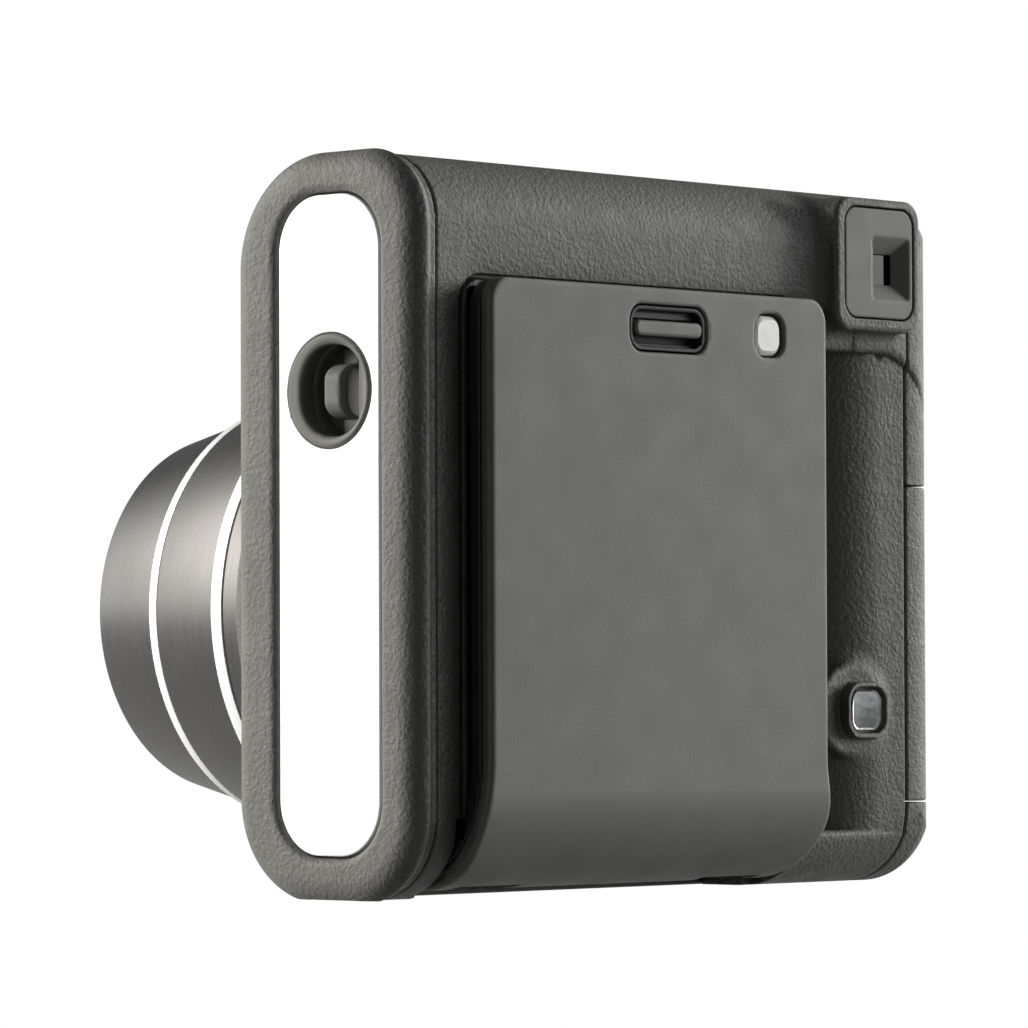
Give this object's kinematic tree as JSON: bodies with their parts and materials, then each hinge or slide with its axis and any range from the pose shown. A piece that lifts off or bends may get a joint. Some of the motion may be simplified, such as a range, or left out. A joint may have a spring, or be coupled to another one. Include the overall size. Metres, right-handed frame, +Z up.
{
  "type": "instant camera",
  "caption": "Square-format instant camera with a twist-out lens, hinged film door, rear finder, grip with battery door and a side strap lug.",
  "frame": {"origin": "on the base, half way along the width and half way through the body's depth", "axes": "+Z up; the lens looks along -Y and the film door faces +Y; +X runs to the user's left side, with the bright trim panel and strap lug; the grip is on -X"},
  "size_m": [0.1342, 0.1033, 0.121],
  "materials": {
    "grained_body": "dark warm grey moulded leather grain, satin matt",
    "grained_frame": "dark warm grey moulded leather grain, a little lighter",
    "matt_plastic": "fine spark-eroded matt grey",
    "black_plastic": "matt black",
    "gloss_black": "gloss black",
    "silver_trim": "bright silver plated plastic",
    "bright_ring": "mirror bright plating, diamond cut",
    "barrel_satin": "satin gunmetal metallic, turned",
    "steel": "plain steel",
    "black_steel": "black painted sheet, matt against stray light",
    "clear_window": "clear",
    "frosted_window": "milky translucent",
    "mirror_finish": "mirror",
    "white_gear": "natural acetal",
    "circuit_board": "green solder mask",
    "battery_can": "sleeved can",
    "black_rubber": "matt black"
  },
  "bodies": {
    "camera_body": {"front_shell": "grained_body", "rear_shell": "grained_body", "lens_guide": "grained_body", "left_side_frame": "grained_frame", "right_side_frame": "grained_frame", "eyepiece_plate": "matt_plastic", "strap_lug": "matt_plastic", "strap_bar": "matt_plastic", "finder_tube": "black_plastic", "battery_tray": "black_plastic", "shutter_switch": "black_plastic", "light_sensor_window": "gloss_black", "flash_capacitor": "gloss_black", "left_trim_panel": "silver_trim", "shutter_button_ring": "bright_ring", "door_hinge_pin": "steel", "hinge_bracket_left": "steel", "hinge_bracket_right": "steel", "drive_bracket": "steel", "roller_bracket": "steel", "drive_motor": "steel", "battery_contact": "steel", "screw_left": "steel", "screw_right": "steel", "film_chamber": "black_steel", "flash_window": "clear_window", "finder_front_window": "clear_window", "eyepiece_lens": "clear_window", "counter_window": "clear_window", "flash_tube": "clear_window", "flash_reflector": "mirror_finish", "main_board": "circuit_board", "battery_lower": "battery_can", "battery_upper": "battery_can"},
    "mode_ring": {"mode_ring": "grained_body"},
    "outer_barrel": {"outer_barrel": "barrel_satin", "barrel_band": "bright_ring", "barrel_rim": "bright_ring"},
    "inner_barrel": {"inner_barrel": "barrel_satin", "front_plate": "gloss_black", "selfie_mirror": "mirror_finish", "front_lens": "clear_window", "shutter_housing": "black_plastic", "rear_lens": "clear_window"},
    "shutter_blade": {"shutter_blade": "black_plastic"},
    "film_door": {"film_door": "matt_plastic", "latch_pocket": "matt_plastic", "pack_window": "frosted_window", "pack_pressure_plate": "black_steel"},
    "door_latch": {"door_latch": "matt_plastic"},
    "battery_door": {"battery_door": "grained_frame"},
    "shutter_button": {"shutter_button": "silver_trim"},
    "front_roller": {"front_roller": "steel", "front_roller_gear": "white_gear"},
    "rear_roller": {"rear_roller": "steel", "rear_roller_gear": "white_gear"},
    "idler_gear": {"idler_gear": "white_gear"},
    "motor_pinion": {"motor_pinion": "white_gear"},
    "counter_dial": {"counter_dial": "black_plastic"},
    "exit_flap": {"exit_flap": "black_rubber"}
  },
  "joints": [
    {"name": "mode_ring_turn", "type": "hinge", "parent": "camera_body", "child": "mode_ring", "pos_m": [0.0125, -0.028, 0.0474], "axis": [0, -1, 0], "range_deg": [-60, 8]},
    {"name": "outer_barrel_slide", "type": "slide", "parent": "camera_body", "child": "outer_barrel", "axis": [0, -1, 0], "range_m": [-0.0249, 0.0034]},
    {"name": "inner_barrel_slide", "type": "slide", "parent": "camera_body", "child": "inner_barrel", "axis": [0, -1, 0], "range_m": [-0.0426, 0.0058]},
    {"name": "shutter_blade_swing", "type": "hinge", "parent": "inner_barrel", "child": "shutter_blade", "pos_m": [0.0265, -0.06435, 0.0474], "axis": [0, 1, 0], "range_deg": [0, 35], "stiffness_Nm_per_rad": 0.0002},
    {"name": "film_door_hinge", "type": "hinge", "parent": "camera_body", "child": "film_door", "pos_m": [0.0125, 0.0106, 0.0048], "axis": [-1, 0, 0], "range_deg": [0, 95]},
    {"name": "door_latch_slide", "type": "slide", "parent": "film_door", "child": "door_latch", "axis": [0, 0, -1], "range_m": [0, 0.0008], "stiffness_N_per_m": 150},
    {"name": "battery_door_slide", "type": "slide", "parent": "camera_body", "child": "battery_door", "axis": [0, 1, 0], "range_m": [0, 0.005]},
    {"name": "shutter_press", "type": "slide", "parent": "camera_body", "child": "shutter_button", "axis": [0, 1, 0], "range_m": [0, 0.0015], "stiffness_N_per_m": 300},
    {"name": "front_roller_spin", "type": "hinge", "parent": "camera_body", "child": "front_roller", "pos_m": [0.0125, -0.00185, 0.106], "axis": [1, 0, 0], "continuous": true},
    {"name": "rear_roller_spin", "type": "hinge", "parent": "camera_body", "child": "rear_roller", "pos_m": [0.0125, 0.00645, 0.106], "axis": [1, 0, 0], "continuous": true},
    {"name": "idler_spin", "type": "hinge", "parent": "camera_body", "child": "idler_gear", "pos_m": [0.0557, -0.00927, 0.09978], "axis": [1, 0, 0], "continuous": true},
    {"name": "pinion_spin", "type": "hinge", "parent": "camera_body", "child": "motor_pinion", "pos_m": [0.0557, -0.01197, 0.10762], "axis": [1, 0, 0], "continuous": true},
    {"name": "counter_turn", "type": "hinge", "parent": "camera_body", "child": "counter_dial", "pos_m": [-0.0442, 0.017, 0.03], "axis": [0, 1, 0], "range_deg": [0, 300]},
    {"name": "exit_flap_hinge", "type": "hinge", "parent": "camera_body", "child": "exit_flap", "pos_m": [0.0125, 0.002, 0.11955], "axis": [1, 0, 0], "range_deg": [0, 70], "stiffness_Nm_per_rad": 0.0003}
  ],
  "couplings": [
    {"joint": "outer_barrel_slide", "follows": "mode_ring_turn", "m_per_rad": 0.023682},
    {"joint": "inner_barrel_slide", "follows": "mode_ring_turn", "m_per_rad": 0.040585},
    {"joint": "rear_roller_spin", "follows": "front_roller_spin", "ratio": -1},
    {"joint": "idler_spin", "follows": "front_roller_spin", "ratio": -0.75},
    {"joint": "pinion_spin", "follows": "front_roller_spin", "ratio": 1.5}
  ]
}
